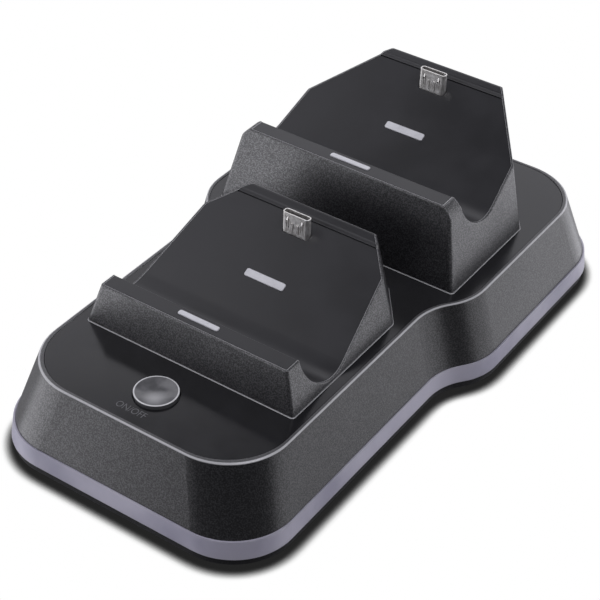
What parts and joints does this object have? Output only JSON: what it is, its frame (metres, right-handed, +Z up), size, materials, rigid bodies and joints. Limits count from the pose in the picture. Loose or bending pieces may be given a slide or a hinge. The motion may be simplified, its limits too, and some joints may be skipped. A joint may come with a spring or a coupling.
{
  "type": "controller charging dock",
  "caption": "Charging dock for game controllers: waisted base with a light ring, stepped cradles with rounded troughs and upright plugs, and a push button on the deck.",
  "frame": {"origin": "middle of the footprint, on the surface the rubber feet stand on", "axes": "+X to the right seen from the button end, +Y from the button end to the power socket, +Z up; the dock is mirrored about X = 0"},
  "size_m": [0.0838, 0.1424, 0.0492],
  "materials": {
    "textured_black": "fine spark-eroded texture",
    "deck_black": "smooth satin",
    "face_black": "smooth satin",
    "cover_black": "matte",
    "ring_clear": "frosted clear",
    "light_bar": "milky clear",
    "button_clear": "clear, polished",
    "plug_metal": "nickel plated",
    "plug_core": "matte",
    "contact_gold": "gold flash",
    "board_green": "solder mask",
    "lead_grey": "smooth",
    "led_white": "milky",
    "chip_black": "matte",
    "screw_steel": "dark zinc",
    "foot_rubber": "matte"
  },
  "bodies": {
    "dock": {"bottom_cover": "cover_black", "rubber_feet": "foot_rubber", "cover_screws": "screw_steel", "light_ring": "ring_clear", "upper_housing": "textured_black", "deck_plate": "deck_black", "cradle_screws": "screw_steel", "front_cradle_shell": "textured_black", "front_cradle_face": "face_black", "front_panel_light_bar": "light_bar", "front_lip_light_bar": "light_bar", "front_plug_shell": "plug_metal", "front_plug_core": "plug_core", "front_plug_contacts": "contact_gold", "front_cradle_board": "board_green", "front_board_lead": "lead_grey", "rear_cradle_shell": "textured_black", "rear_cradle_face": "face_black", "rear_panel_light_bar": "light_bar", "rear_lip_light_bar": "light_bar", "rear_plug_shell": "plug_metal", "rear_plug_core": "plug_core", "rear_plug_contacts": "contact_gold", "rear_cradle_board": "board_green", "rear_board_lead": "lead_grey", "cradle_board_screws": "screw_steel", "indicator_lights": "led_white", "main_board": "board_green", "board_screws": "screw_steel", "charge_chips": "chip_black", "ring_lights": "led_white", "socket_shell": "plug_metal", "socket_core": "plug_core", "switch_body": "chip_black"},
    "button": {"button_cap": "button_clear", "switch_plunger": "plug_core"}
  },
  "joints": [
    {"name": "button_press", "type": "slide", "parent": "dock", "child": "button", "axis": [0, 0, -1], "range_m": [0, 0.0005], "stiffness_N_per_m": 1500, "springref_m": -0.0004}
  ]
}
